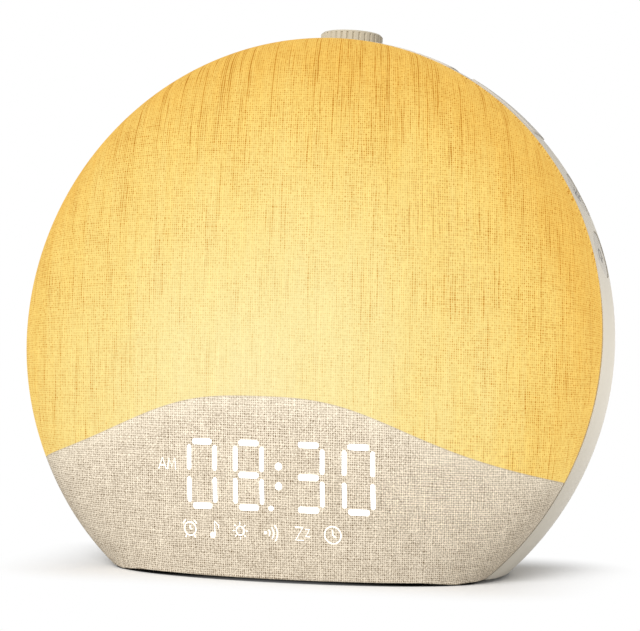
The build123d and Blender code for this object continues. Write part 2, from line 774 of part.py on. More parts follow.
# ------------------------------------------------------------------ boards behind the tray
def main_board():
    middle = (0, (main_board_low + main_board_high) / 2)
    height = main_board_high - main_board_low
    board = block(main_board_width, height, -main_board_back, -main_board_front, middle)
    for place in main_board_posts:
        board -= rod(small_screw_radius + thread_fit, -main_board_back, -main_board_front, place)
    return board


def main_chips():
    chips = []
    for x, y, width, height, thickness in chip_sizes:
        chips.append(block(width, height, -main_board_back - thickness, -main_board_back, (x, y)))
    return group(chips)


cell_front = -main_board_back - holder_floor
cell_back = cell_front - cell_thickness


def cell_holder():
    bore = cell_radius + cell_fit
    cup = rod(bore + holder_wall, cell_back, -main_board_back, cell_place)
    return cup - rod(bore, cell_back, cell_front, cell_place)


def coin_cell():
    return rod(cell_radius, cell_back, cell_front, cell_place)


def board_screws():
    head_up = screw(
        small_screw_radius, small_screw_length, small_head_radius, small_head_height, small_head_edge
    )
    head_back = Rot(2 * quarter_turn, 0, 0) * head_up
    front = [Pos(*place, display_board_front) * head_up for place in display_posts]
    rear = [Pos(*place, -main_board_back) * head_back for place in main_board_posts]
    return group(front + rear)


def front_screws():
    head_up = screw(
        screw_radius, front_screw_length, screw_head_radius, screw_head_height, screw_head_edge
    )
    head_back = Rot(2 * quarter_turn, 0, 0) * head_up
    return group(Pos(*place, -front_screw_seat) * head_back for place in front_screw_places)


# ------------------------------------------------------------------ speaker
def speaker_gasket():
    ring = rod(speaker_radius, -back_inside, gasket_front, speaker_place)
    return ring - rod(speaker_radius - gasket_width, -back_inside, gasket_front, speaker_place)


def turned_at_speaker(corners):
    outline = make_face(Polyline(*corners, close=True).edges())
    return Pos(0, speaker_centre_y, 0) * revolve(Plane.XZ * outline, Axis.Z)


def speaker_frame():
    seat = cone_radius + basket_skin
    end = flange_front + basket_height
    outside = [
        (seat, gasket_front), (speaker_radius, gasket_front), (speaker_radius, flange_front),
        (seat + basket_skin, flange_front), (basket_radius + basket_skin, end), (0, end),
    ]
    inside = [(0, end - basket_skin), (basket_radius, end - basket_skin), (seat, flange_front)]
    return turned_at_speaker(outside + inside)


def speaker_cone():
    edge, neck = gasket_front, gasket_front + cone_height
    surround = cone_radius + basket_skin / 2
    back = [(0, neck), (cone_neck, neck), (cone_radius, edge), (surround, edge)]
    front = [(radius, level + cone_skin) for radius, level in reversed(back)]
    return turned_at_speaker(back + front)


def speaker_magnet():
    back = flange_front + basket_height
    return rod(magnet_radius, back, back + magnet_thickness, speaker_place)


# ------------------------------------------------------------------ power inlet
inlet_end = inlet_mouth + inlet_length
inlet_bore = (inlet_width - 2 * inlet_skin, inlet_height - 2 * inlet_skin)


def inlet_shell():
    tube = slot(inlet_width, inlet_height, inlet_mouth, inlet_end, inlet_place)
    return tube - slot(*inlet_bore, inlet_mouth, inlet_end, inlet_place)


def inlet_tongue():
    width, height = [size - 2 * thread_fit for size in inlet_bore]
    plug = slot(width, height, inlet_end - tongue_base, inlet_end, inlet_place)
    front = inlet_end - tongue_base - tongue_length
    return plug + block(tongue_width, tongue_thickness, front, inlet_end, inlet_place)


def power_board():
    top = inlet_y - inlet_height / 2
    middle = inlet_mouth + tray_wall + inlet_fit + power_board_length / 2
    board = Box(power_board_width, board_thickness, power_board_length)
    return Pos(0, top - board_thickness / 2, middle) * board


# ------------------------------------------------------------------ writing the parts
def pieces():
    """Every node of the clock by name."""
    nodes = {
        "front_fabric": front_fabric(),
        "diffuser_dome": diffuser_dome(),
        "clamp_ring": clamp_ring(),
        "light_tray": light_tray(),
        "hill_wall": hill_wall(),
        "lamp_board": lamp_board(),
        "lamp_leds": lamp_leds(),
        "display_block": display_block(),
        "display_board": display_board(),
        "display_leds": display_leds(),
        "rear_shell": rear_shell(),
        "base_pad": base_pad(),
        "front_screws": front_screws(),
        "board_screws": board_screws(),
        "main_board": main_board(),
        "main_chips": main_chips(),
        "cell_holder": cell_holder(),
        "coin_cell": coin_cell(),
        "speaker_gasket": speaker_gasket(),
        "speaker_frame": speaker_frame(),
        "speaker_cone": speaker_cone(),
        "speaker_magnet": speaker_magnet(),
        "inlet_shell": inlet_shell(),
        "inlet_tongue": inlet_tongue(),
        "power_board": power_board(),
        "key_bracket": key_bracket(),
        "key_strip": key_strip(),
        "switch_bodies": group(switch_body(angle) for angle, shape in key_places),
        "encoder_body": encoder_body(),
        "encoder_rotor": encoder_rotor(),
        "encoder_shaft": encoder_shaft(),
        "encoder_washer": encoder_washer(),
        "encoder_nut": encoder_nut(),
        "knob": knob(),
    }
    for name, angle in zip(("upper", "lower"), bar_key_angles):
        nodes[f"bar_key_{name}"] = key_cap(angle, bar_key, bar_key_proud)
        nodes[f"bar_plunger_{name}"] = switch_plunger(angle)
    for name, angle in zip(("upper", "lower"), pill_key_angles):
        nodes[f"pill_key_{name}"] = dished(key_cap(angle, pill_key, pill_key_proud), angle)
        nodes[f"pill_plunger_{name}"] = switch_plunger(angle)
    return nodes


def main():
    os.makedirs("parts", exist_ok=True)
    for name, part in pieces().items():
        export(part, name)


if __name__ == "__main__":
    main()
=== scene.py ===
"""Looks of the sunrise alarm clock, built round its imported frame.

The table frame is the CAD part's: +Z up, -Y towards the person in front of the clock,
origin on the table. Cloth, digits and key signs are drawn in the face frame, which leans
back with the clock: +X across, +Y up the face, +Z out of the face, origin at the middle
of the rim. Everything is in metres.
"""

import json
from math import acos, atan2, cos, hypot, pi, radians, sin, sqrt

import bmesh
import bpy
from mathutils import Matrix, Vector
from mathutils.bvhtree import BVHTree


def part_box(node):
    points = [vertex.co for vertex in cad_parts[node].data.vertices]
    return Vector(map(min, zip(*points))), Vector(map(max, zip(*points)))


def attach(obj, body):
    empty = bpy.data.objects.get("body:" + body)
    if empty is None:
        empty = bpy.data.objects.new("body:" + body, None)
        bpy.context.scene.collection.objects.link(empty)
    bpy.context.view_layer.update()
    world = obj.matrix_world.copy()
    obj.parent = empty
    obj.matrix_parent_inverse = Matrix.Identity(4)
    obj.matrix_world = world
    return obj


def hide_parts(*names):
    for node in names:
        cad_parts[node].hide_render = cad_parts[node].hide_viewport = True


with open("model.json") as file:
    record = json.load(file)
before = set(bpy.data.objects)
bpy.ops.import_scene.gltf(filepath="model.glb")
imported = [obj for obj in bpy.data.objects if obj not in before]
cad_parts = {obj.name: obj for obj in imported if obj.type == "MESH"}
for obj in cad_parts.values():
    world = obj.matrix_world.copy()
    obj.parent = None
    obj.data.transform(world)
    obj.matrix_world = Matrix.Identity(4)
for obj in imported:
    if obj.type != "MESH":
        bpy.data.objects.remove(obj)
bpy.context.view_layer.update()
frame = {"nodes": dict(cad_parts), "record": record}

MM = 0.001
NODES = frame["nodes"]

# ------------------------------------------------------------------ the clock's own sizes
FACE_TILT = radians(9.68)
LEAN_SIN, LEAN_COS = sin(FACE_TILT), cos(FACE_TILT)
CLOTH_LOW, CLOTH_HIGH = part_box("front_fabric")
RIM = (CLOTH_HIGH.x - CLOTH_LOW.x) / 2
BULGE = sqrt(CLOTH_LOW.y**2 - (RIM * LEAN_SIN) ** 2) / LEAN_COS
FACE_CENTRE = CLOTH_HIGH.z - hypot(RIM * LEAN_COS, BULGE * LEAN_SIN)
FLOOR = CLOTH_LOW.z
FACE = Matrix.Translation((0, 0, FACE_CENTRE)) @ Matrix(
    ((1, 0, 0, 0), (0, LEAN_SIN, -LEAN_COS, 0), (0, LEAN_COS, LEAN_SIN, 0), (0, 0, 0, 1))
)

CLOTH_THICKNESS = 0.45 * MM
CLOTH_FOLD = 0.7 * MM  # radius of the fold at the edges
CLOTH_HEM = 6.0 * MM
CORNER_DROP = 0.85 * MM  # the cloth comes this much lower at the foot's two corners
CLOTH_ROLL = 0.45 * MM  # how far the padded edge stands out over the lip behind it
ROLL_POWER = 8  # the roll keeps close to the edge
ROLL_RIGHT = radians(25)  # the roll swells up to this angle on the right
ROLL_LEFT, ROLL_LEFT_SPAN = radians(-150), radians(30)  # and runs out past this one on the left
CLOTH_STRETCH = 1.03  # how far the cloth is stretched over the dome
THREAD_PITCH = 0.67 * MM
THREAD_SHEAR = 0.27  # threads lean with the way the cloth was pulled over the dome

HILL_FOOT = -44.7 * MM
HILL_RISE = 25.2 * MM
HILL_CENTRE = -3.3 * MM
HILL_HALF_WIDTH = 54.4 * MM
HILL_POWER = 3

LAMP_ACROSS, LAMP_UP = -3 * MM, -24 * MM  # the sky is brightest here
LAMP_REACH_ACROSS, LAMP_REACH_UP = 98 * MM, 105 * MM

DIGITS = ("0", "8", "3", "0")
DIGIT_CENTRES = (-20.37 * MM, -5.70 * MM, 12.44 * MM, 27.11 * MM)
DIGIT_WIDTH = 8.22 * MM
DIGIT_HEIGHT = 18.3 * MM
DIGIT_MIDDLE = -42.08 * MM
LEVEL_BAR = (6.1 * MM, 1.7 * MM)  # length and thickness
UPRIGHT_BAR = (7.1 * MM, 1.3 * MM)
BAR_TIP = 0.5 * MM
BAR_BLUNT = 0.45  # share of the thickness that stays flat at a bar's end
COLON_X, COLON_SPREAD, COLON_RADIUS = 3.52 * MM, 5.6 * MM, 1.05 * MM
POINT_X, POINT_RADIUS = 1.1 * MM, 0.75 * MM
MARKER_X, MARKER_RISE = -31.75 * MM, 2.6 * MM
SIGN_LEVEL = -57.93 * MM
SIGN_PEN = 0.29 * MM
MARKER_PEN = 0.27 * MM
LIGHT_PROUD = 0.04 * MM  # lit signs above the cloth

SHELL_RADIUS = 90.0 * MM
KEY_DEPTH = 9.3 * MM  # middle of the rim keys behind the rim
KEY_APPROACH = 10 * MM  # the print drops onto its key from this far outside the shell
PRINT_SIZE = 1.9 * MM
PRINT_PEN = 0.55 * MM
PRINT_PROUD = 0.015 * MM

SCREW_ACROSS, SCREW_UP = 50 * MM, 30 * MM  # the back screws lie at plus and minus these
SCREW_SEAT = 38.0 * MM  # behind the rim
SCREW_HEAD_HEIGHT = 2.2 * MM
RECESS_LENGTH, RECESS_WIDTH, RECESS_DEPTH = 2.9 * MM, 0.7 * MM, 1.2 * MM


def on_face(across, up, out=0.0):
    """Point of the table frame for a place in the face frame."""
    return FACE @ Vector((across, up, out))


def dome_depth(across, up):
    """How far the cloth stands in front of the rim over a place on the face."""
    share = 1 - (across**2 + up**2) / RIM**2
    return BULGE * sqrt(max(share, 0.0))


# ------------------------------------------------------------------ shader expressions
class Field:
    """A node's output that takes part in Python expressions."""

    def __init__(self, finish, socket):
        self.finish, self.socket = finish, socket

    def __add__(self, other):
        return self.finish.math("ADD", self, other)

    def __sub__(self, other):
        return self.finish.math("SUBTRACT", self, other)

    def __rsub__(self, other):
        return self.finish.math("SUBTRACT", other, self)

    def __mul__(self, other):
        return self.finish.math("MULTIPLY", self, other)

    def __truediv__(self, other):
        return self.finish.math("DIVIDE", self, other)

    def __rtruediv__(self, other):
        return self.finish.math("DIVIDE", other, self)

    def __pow__(self, other):
        return self.finish.math("POWER", self, other)

    def __abs__(self):
        return self.finish.math("ABSOLUTE", self)

    __radd__ = __add__
    __rmul__ = __mul__


class Finish:
    """A material, or a world, in the making."""

    def __init__(self, name, holder=None):
        self.material = holder or bpy.data.materials.new(name)
        self.material.use_nodes = True
        self.tree = self.material.node_tree
        self.tree.nodes.clear()

    def node(self, kind, settings=None, sockets=None, output=0):
        """Adds a node: its settings first, then its sockets' values or links."""
        made = self.tree.nodes.new("ShaderNode" + kind)
        for name, value in (settings or {}).items():
            if name == "stops":
                set_stops(made.color_ramp, value)
            else:
                setattr(made, name, value)
        for name, value in (sockets or {}).items():
            if isinstance(value, Field):
                self.tree.links.new(value.socket, made.inputs[name])
            else:
                made.inputs[name].default_value = value
        return Field(self, made.outputs[output]) if len(made.outputs) else None

    def math(self, operation, first, second=0.0):
        return self.node("Math", {"operation": operation}, {0: first, 1: second})

    def place(self):
        """Where a point is on the object at rest."""
        return self.node("TexCoord", output="Object")

    def attribute(self, name):
        return self.node("Attribute", {"attribute_name": name}, output="Vector")

    def parts_of(self, vector):
        split = self.node("SeparateXYZ", sockets={0: vector})
        outputs = split.socket.node.outputs
        return [Field(self, outputs[i]) for i in range(3)]

    def vector(self, x, y, z=0.0):
        return self.node("CombineXYZ", sockets={0: x, 1: y, 2: z})

    def stretched(self, vector, factors):
        return self.node("VectorMath", {"operation": "MULTIPLY"}, {0: vector, 1: factors})

    def noise(self, vector, scale, detail=2.0, roughness=0.5):
        sockets = {"Vector": vector, "Scale": scale, "Detail": detail, "Roughness": roughness}
        return self.node("TexNoise", sockets=sockets)

    def cells(self, vector):
        """A random value for every whole number of a vector."""
        return self.node("TexWhiteNoise", {"noise_dimensions": "3D"}, {"Vector": vector})

    def smooth(self, value, low, high, start=0.0, end=1.0):
        settings = {"interpolation_type": "SMOOTHSTEP"}
        sockets = {0: value, 1: low, 2: high, 3: start, 4: end}
        return self.node("MapRange", settings, sockets)

    def mix(self, factor, first, second):
        return self.node("Mix", {"data_type": "RGBA"}, {0: factor, 6: first, 7: second}, output=2)

    def tinted(self, colour, factor):
        """Colour times a number that varies."""
        return self.node("VectorMath", {"operation": "SCALE"}, {0: colour, "Scale": factor})

    def bump(self, height, distance, strength=1.0):
        return self.node("Bump", sockets={"Height": height, "Distance": distance, "Strength": strength})

    def surface(self, **sockets):
        """Principled surface as the finish's output; underscores stand for spaces."""
        named = {name.replace("_", " "): value for name, value in sockets.items()}
        shader = self.node("BsdfPrincipled", sockets=named)
        self.node("OutputMaterial", sockets={"Surface": shader})
        return self.material


def set_stops(ramp, stops):
    """Gives a colour ramp its stops, as (place, colour) pairs."""
    while len(ramp.elements) < len(stops):
        ramp.elements.new(1.0)
    for element, (place, colour) in zip(ramp.elements, stops):
        element.position, element.color = place, colour


def rgb(red, green, blue):
    """Colour as the eye reads it, 0 to 255, turned into light."""
    light = []
    for value in (red, green, blue):
        share = value / 255
        light.append(share / 12.92 if share <= 0.04045 else ((share + 0.055) / 1.055) ** 2.4)
    return (*light, 1.0)


# ------------------------------------------------------------------ cloth finish
THREAD_WANDER = 1.1  # how far threads swerve, in threads
SWERVE_LONG, SWERVE_SHORT = 110, 900  # changes per metre along and across a thread
CLOTH_GAP, CLOTH_THREAD = rgb(118, 99, 74), rgb(248, 235, 213)
# painted light: plain cloth made paler just under the hill line, where the lamp's light creeps in
PAINTED_BLEED_LIGHT = rgb(246, 235, 212)  # plain cloth just under the hill line
# painted shadow along the hill line, where the lit cloth ends
PAINTED_HILL_SHADOW = rgb(150, 135, 108)  # thin dark line along the hill
LIT_THREAD = rgb(224, 152, 44)
# painted glow of the lamp through the cloth
GLOW = [  # from the lamp out to the rim
    (0.0, rgb(248, 233, 173)),
    (0.32, rgb(248, 231, 161)),
    (0.62, rgb(248, 224, 141)),
    (0.85, rgb(248, 215, 121)),
    (1.0, rgb(243, 199, 100)),
]


class Weave:
    """Plain weave: gaps between the threads, and what varies from thread to thread.

    u counts the upright warp threads and v the level weft threads.
    """

    def __init__(self, finish, place):
        self.finish, self.place = finish, place
        across, up, _ = finish.parts_of(place)
        warp_swerve = self.patches((SWERVE_SHORT, SWERVE_LONG), 0, 1.0)
        weft_swerve = self.patches((SWERVE_LONG, SWERVE_SHORT), 7, 1.0)
        u = across / THREAD_PITCH + warp_swerve * THREAD_WANDER
        v = up / THREAD_PITCH + weft_swerve * THREAD_WANDER
        self.warp_gap = finish.math("COSINE", u * pi) ** 2.0
        self.weft_gap = finish.math("COSINE", v * pi) ** 2.0
        self.hole = self.warp_gap * self.weft_gap
        warp, weft = finish.math("ROUND", u), finish.math("ROUND", v)
        tone = {"detail": 2.0, "roughness": 0.6}
        self.warp_tone = self.along(warp, up, jump=7.31, change=75, seed=3.0, **tone)
        self.weft_tone = self.along(weft, across, jump=5.77, change=90, seed=11.0, **tone)
        self.thin_warp = self.along(warp, up, jump=3.17, change=42, seed=8.0)
        self.long_warp = self.along(warp, up, jump=4.91, change=14, seed=21.0)
        self.chance = finish.cells(finish.vector(warp, weft, 0.5))
        half_u, half_v = finish.math("FLOOR", u * 2.0), finish.math("FLOOR", v * 2.0)
        self.fibre = finish.cells(finish.vector(half_u, half_v, 4.5))
        over = finish.math("FLOOR", u) + finish.math("FLOOR", v)
        self.over = abs(finish.math("FRACT", over / 2.0) * 2.0)

    def patches(self, scale, seed, detail=2.0):
        """Change over the cloth, about 0, at so many waves per metre across and up."""
        return self.finish.noise(self.finish.stretched(self.place, (*scale, seed)), 1.0, detail) - 0.5

    def along(self, thread, place, jump, change, seed, detail=1.0, roughness=0.5):
        """Thickness that runs along each thread and jumps from thread to thread."""
        spot = self.finish.vector(thread * jump, place * change, seed)
        return self.finish.noise(spot, 1.0, detail, roughness)


def plain_cloth(finish, weave):
    """Unlit cloth: pale threads, darker gaps, and here and there a thick pale thread."""
    pale_warp = finish.smooth(weave.warp_tone, 0.58, 0.70) * (1.0 - weave.warp_gap)
    pale_weft = finish.smooth(weave.weft_tone, 0.60, 0.72) * (1.0 - weave.weft_gap)
    fleck = 0.80 - weave.hole * (weave.chance * 0.50 + 0.58) + (weave.fibre - 0.5) * 0.38
    fleck = fleck + (weave.over - 0.5) * 0.10 + (pale_warp + pale_weft) * 0.22
    fleck = fleck + weave.patches((60, 35), 0) * 0.16 + weave.patches((230, 170), 2) * 0.22
    return finish.mix(fleck, CLOTH_GAP, CLOTH_THREAD)


def dark_threads(finish, weave, far, up):
    """Where threads hold the light back: dots, short lines, and long ones near the top."""
    crowd = finish.smooth(weave.patches((75, 60), 13), -0.16, 0.16)
    dots = weave.warp_gap * (weave.weft_gap * 0.9 + 0.1)
    dots = dots * (weave.chance * 0.8 + 0.2) * (crowd * 0.35 + 0.65)
    upright = finish.smooth(weave.thin_warp, 0.57, 0.68) * weave.warp_gap * (weave.weft_gap * 0.6 + 0.4)
    level = finish.smooth(weave.weft_tone, 0.63, 0.76) * weave.weft_gap * (weave.warp_gap * 0.6 + 0.4)
    fine = finish.smooth(far, 0.15, 1.0, 0.45, 1.25)  # near the lamp its light washes threads out
    top = finish.smooth(far, 0.66, 1.0) * finish.smooth(up, 36 * MM, 74 * MM, 0.12, 0.8)
    long_lines = finish.smooth(weave.long_warp, 0.52, 0.62) * weave.warp_gap * top
    return (dots * 1.35 + upright * 0.6 + level * 0.45) * fine + long_lines


def lit_cloth(finish, weave, across, up):
    """Painted glow of the lamp behind the cloth: brightest low behind the hill, fading to the rim."""
    far_across = (across - LAMP_ACROSS) / LAMP_REACH_ACROSS
    far_up = (up - LAMP_UP) / LAMP_REACH_UP
    far = finish.math("SQRT", far_across * far_across + far_up * far_up)
    dark = dark_threads(finish, weave, far, up)
    bright = finish.smooth(weave.thin_warp, 0.44, 0.34) * (1.0 - weave.warp_gap)
    bright = bright + finish.smooth(weave.weft_tone, 0.42, 0.32) * (1.0 - weave.weft_gap) * 0.7
    shade = 1.05 - dark * 0.20 + bright * 0.08 + (weave.fibre - 0.5) * 0.10
    depth = far + weave.patches((42, 14), 5) * 0.30 + weave.patches((430, 14), 5) * 0.18
    glow = finish.node("ValToRGB", {"stops": GLOW}, {0: depth})
    return finish.tinted(finish.mix(dark * 0.8, glow, LIT_THREAD), shade)


def linen():
    """Slubby linen over the lamp: above the hill line the lamp's light is painted on as the cloth's own
    glow, plain cloth below it.
    """
    finish = Finish("linen")
    across, up, _ = finish.parts_of(finish.attribute("face_place"))
    weave = Weave(finish, finish.attribute("thread_place"))

    flank = abs((across - HILL_CENTRE) / HILL_HALF_WIDTH) ** HILL_POWER
    above = up - (HILL_RISE / (flank + 1.0) + HILL_FOOT)
    sky = finish.smooth(above, -0.12 * MM, 0.16 * MM)
    # painted shadow: a thin dark line along the hill line
    hill_shadow_mask = finish.smooth(abs(above), 0.0, 0.55 * MM, 1.0, 0.0)
    # painted light: the cloth is made paler where the lamp's light creeps in under the hill line
    painted_bleed = finish.smooth(above, -9.0 * MM, 0.0)  # light that creeps in under the hill line

    plain = finish.mix(painted_bleed * 0.2, plain_cloth(finish, weave), PAINTED_BLEED_LIGHT)
    plain = finish.mix(hill_shadow_mask * 0.35, plain, PAINTED_HILL_SHADOW)
    lit = lit_cloth(finish, weave, across, up)
    # the lamp's glow is painted into the sky's base colour, as a dim copy, and into its emission
    return finish.surface(
        Base_Color=finish.mix(sky, plain, finish.tinted(lit, 0.14)),
        Roughness=0.95,
        Specular_IOR_Level=0.1,
        Emission_Color=finish.mix(sky, (0, 0, 0, 1), finish.tinted(lit, 0.84)),
        Emission_Strength=1.0,
        Normal=finish.bump(1.0 - weave.hole + weave.over * 0.3, 0.12 * MM, 0.5),
    )


# ------------------------------------------------------------------ other finishes
def moulded(name, colour, roughness=0.5, grain=0.5, speckle=0.04):
    """Moulded plastic with a fine spark texture and a little unevenness."""
    finish = Finish(name)
    place = finish.place()
    fine = finish.noise(place, scale=4200, detail=2.0, roughness=0.6)
    broad = finish.noise(place, scale=28, detail=3.0)
    tone = 1.0 + (fine - 0.5) * speckle + (broad - 0.5) * speckle
    return finish.surface(
        Base_Color=finish.tinted(colour[:3], tone),
        Roughness=roughness + (broad - 0.5) * 0.08 + (fine - 0.5) * 0.04,
        Specular_IOR_Level=0.08,
        Normal=finish.bump(fine, 0.0015 * MM, grain),
    )


def rubber():
    finish = Finish("pad_rubber")
    place = finish.place()
    fine = finish.noise(place, scale=2600, detail=3.0, roughness=0.65)
    scuff = finish.noise(place, scale=90, detail=4.0, roughness=0.6)
    return finish.surface(
        Base_Color=finish.mix(scuff, rgb(34, 32, 29), rgb(62, 59, 54)),
        Roughness=0.78 + (fine - 0.5) * 0.2,
        Normal=finish.bump(fine, 0.03 * MM, 0.6),
    )


def metal(name, colour, roughness=0.3, brushed=(60, 60, 900)):
    """Drawn or plated metal with fine marks along one way."""
    finish = Finish(name)
    place = finish.place()
    marks = finish.noise(finish.stretched(place, brushed), scale=3.0, detail=3.0, roughness=0.7)
    spots = finish.noise(place, scale=700, detail=2.0)
    return finish.surface(
        Base_Color=finish.tinted(colour[:3], 0.88 + marks * 0.24),
        Metallic=1.0,
        Roughness=roughness + (marks - 0.5) * 0.2 + (spots - 0.5) * 0.06,
        Normal=finish.bump(marks, 0.01 * MM, 0.4),
    )


def board(name, mask, track):
    """Circuit board: solder mask over the faint relief of its tracks."""
    finish = Finish(name)
    place = finish.place()
    x, _, z = finish.parts_of(place)
    lane_x = abs(finish.math("FRACT", x / (2.4 * MM)) - 0.5)
    lane_z = abs(finish.math("FRACT", z / (3.1 * MM)) - 0.5)
    spread = finish.stretched(place, (120, 0, 95))
    block = finish.cells(finish.node("VectorMath", {"operation": "FLOOR"}, {0: spread}))
    turn = finish.smooth(block, 0.45, 0.55)  # each block of tracks runs one way
    lane = finish.mix(turn, lane_x, lane_z)
    copper = finish.smooth(finish.parts_of(lane)[0], 0.14, 0.10)
    return finish.surface(
        Base_Color=finish.mix(copper, mask, track),
        Roughness=0.38 - copper * 0.06,
        Normal=finish.bump(copper, 0.03 * MM, 0.6),
    )


def glowing(name, colour, strength, speckle=0.06):
    """Light that shows through the cloth or leaves a lamp chip."""
    finish = Finish(name)
    threads = finish.noise(finish.place(), scale=1500, detail=1.0)
    tone = 1.0 - threads * speckle
    return finish.surface(
        Base_Color=finish.tinted(colour[:3], tone * 0.8),
        Roughness=0.7,
        Emission_Color=finish.tinted(colour[:3], tone),
        Emission_Strength=strength,
    )


def opal():
    finish = Finish("opal_diffuser")
    place = finish.place()
    milk = finish.noise(place, scale=35, detail=3.0)
    fine = finish.noise(place, scale=3000, detail=1.0)
    return finish.surface(
        Base_Color=finish.mix(milk, rgb(244, 240, 228), rgb(236, 230, 215)),
        Roughness=0.45 + (fine - 0.5) * 0.1,
        Subsurface_Weight=0.3,
        Normal=finish.bump(fine, 0.01 * MM, 0.3),
    )


def key_print():
    finish = Finish("key_print")
    worn = finish.noise(finish.place(), scale=900, detail=3.0)
    return finish.surface(
        Base_Color=finish.mix(worn, rgb(84, 82, 78), rgb(112, 110, 105)),
        Roughness=0.55 + (worn - 0.5) * 0.15,
    )


FINISHES = {
    "linen": linen(),
    "opal": opal(),
    "white_plastic": moulded("white_plastic", rgb(228, 228, 224)),
    "black_plastic": moulded("black_plastic", rgb(30, 30, 32), roughness=0.55),
    "white_board": board("lamp_board_mask", rgb(226, 226, 222), rgb(238, 238, 234)),
    "green_board": board("green_board_mask", rgb(22, 74, 46), rgb(38, 104, 66)),
    "led_yellow": glowing("lamp_chip", rgb(255, 214, 120), strength=2.0),
    "led_white": glowing("display_chip", rgb(255, 255, 255), strength=2.0),
    "shell_plastic": moulded("shell_plastic", rgb(214, 207, 193), grain=0.35, speckle=0.02),
    "knob_plastic": moulded("knob_plastic", rgb(192, 181, 159), roughness=0.42, grain=0.35, speckle=0.02),
    "key_plastic": moulded("key_plastic", rgb(202, 196, 185), grain=0.35, speckle=0.02),
    "rubber": rubber(),
    "screw_steel": metal("screw_steel", rgb(150, 150, 152), roughness=0.34),
    "chip_plastic": moulded("chip_plastic", rgb(40, 40, 43), roughness=0.6, grain=0.6, speckle=0.15),
    "cell_steel": metal("cell_steel", rgb(205, 205, 207), roughness=0.22),
    "foam": moulded("gasket_foam", rgb(40, 40, 41), roughness=0.9, grain=1.0, speckle=0.3),
    "speaker_steel": moulded("speaker_paint", rgb(36, 36, 38), roughness=0.4, grain=0.3, speckle=0.1),
    "speaker_paper": moulded("speaker_paper", rgb(52, 51, 50), roughness=0.85, grain=0.9, speckle=0.25),
    "magnet": metal("magnet_ferrite", rgb(110, 110, 114), roughness=0.55, brushed=(300, 300, 300)),
    "strip_film": moulded("strip_film", rgb(178, 112, 38), roughness=0.25, grain=0.1, speckle=0.1),
    "encoder_metal": metal("encoder_metal", rgb(200, 200, 200), roughness=0.3),
    "switch_plunger": moulded("switch_plunger", rgb(216, 213, 205), roughness=0.4, grain=0.2, speckle=0.04),
}
DIGIT_LIGHT = glowing("digit_light", rgb(255, 255, 255), strength=1.2, speckle=0.04)
SIGN_LIGHT = glowing("sign_light", rgb(255, 252, 244), strength=1.2, speckle=0.1)
KEY_PRINT = key_print()


# ------------------------------------------------------------------ piece helpers
def placed(name, data):
    """New object of the scene, made from a mesh, a curve, a lamp or a camera."""
    made = bpy.data.objects.new(name, data)
    bpy.context.scene.collection.objects.link(made)
    return made


def mesh_from(name, mesh_maker):
    """Ends a bmesh and hands back its mesh."""
    mesh = bpy.data.meshes.new(name)
    mesh_maker.to_mesh(mesh)
    mesh_maker.free()
    return mesh


def finished_mesh(source):
    """Mesh of an object as its modifiers or its pen width leave it."""
    bpy.context.view_layer.update()
    shown = source.evaluated_get(bpy.context.evaluated_depsgraph_get())
    return bpy.data.meshes.new_from_object(shown)


def add_piece(name, mesh_maker, finish, body):
    """Turns a bmesh into a named piece that rides on a body."""
    piece = placed(name, mesh_from(name, mesh_maker))
    piece.data.materials.append(finish)
    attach(piece, body)
    return piece


def smooth_shaded(piece):
    for polygon in piece.data.polygons:
        polygon.use_smooth = True


def eased(share):
    """Smooth step from 0 to 1."""
    share = min(max(share, 0.0), 1.0)
    return share * share * (3 - 2 * share)


# ------------------------------------------------------------------ linen front
CLOTH_RINGS = 84  # from the apex out to the edge
RIM_STEPS, FOOT_STEPS = 260, 100  # round the rim and along the foot
FOLD_STEPS, HEM_STEPS = 4, 3
ARC_STEPS = 40
CORNER_BLEND = radians(2.5)  # where the rim's fold turns into the foot's
CORNER_SPAN = radians(8)  # how far along the foot the lower corner reaches


def foot_corner():
    """Angle below level at which the rim meets the foot."""
    return -radians(90) + acos((FACE_CENTRE - FLOOR + CORNER_DROP) / (RIM * LEAN_COS))


def past_corner(angle):
    """Angle between a place on the edge and the nearer corner of the foot."""
    return min(abs(angle - foot_corner()), abs(angle + radians(180) + foot_corner()))


def foot_level(angle):
    """Height of the cloth's lower edge: it comes down a little at the corners."""
    return FLOOR - CORNER_DROP * (1 - eased(past_corner(angle) / CORNER_SPAN))


def edge_radius(angle):
    """Radius of the cloth's edge: it is fuller over the top and the left."""
    if angle > 0:
        return RIM + CLOTH_ROLL * eased(angle / ROLL_RIGHT)
    return RIM + CLOTH_ROLL * eased((ROLL_LEFT - angle) / ROLL_LEFT_SPAN)


def cloth_end(angle):
    """Where the dome's section stops: 0 at the rim, more where the foot cuts it."""
    fall, lift = RIM * sin(angle) * LEAN_COS, BULGE * LEAN_SIN
    level = foot_level(angle) + CLOTH_FOLD - FACE_CENTRE
    size = hypot(fall, lift)
    if fall >= 0 or level < -size:
        return 0.0
    return max(atan2(lift, fall) - acos(level / size), 0.0)


def rim_fold(angle, share):
    """Point of the fold and hem behind the rim, in the table frame."""
    turn = min(share, 1.0) * radians(90)
    inwards = CLOTH_FOLD * (1 - cos(turn)) + CLOTH_HEM * max(share - 1, 0)
    back = CLOTH_FOLD * sin(turn)
    radius = edge_radius(angle) - inwards
    return on_face(radius * cos(angle), radius * sin(angle), -back)


def foot_fold(start, inwards, share):
    """Point of the fold and hem under the foot, in the table frame."""
    turn = min(share, 1.0) * radians(90)
    run = CLOTH_FOLD * (1 - cos(turn)) + CLOTH_HEM * max(share - 1, 0)
    point = start + inwards * run
    point.z = start.z - CLOTH_FOLD * sin(turn)
    return point


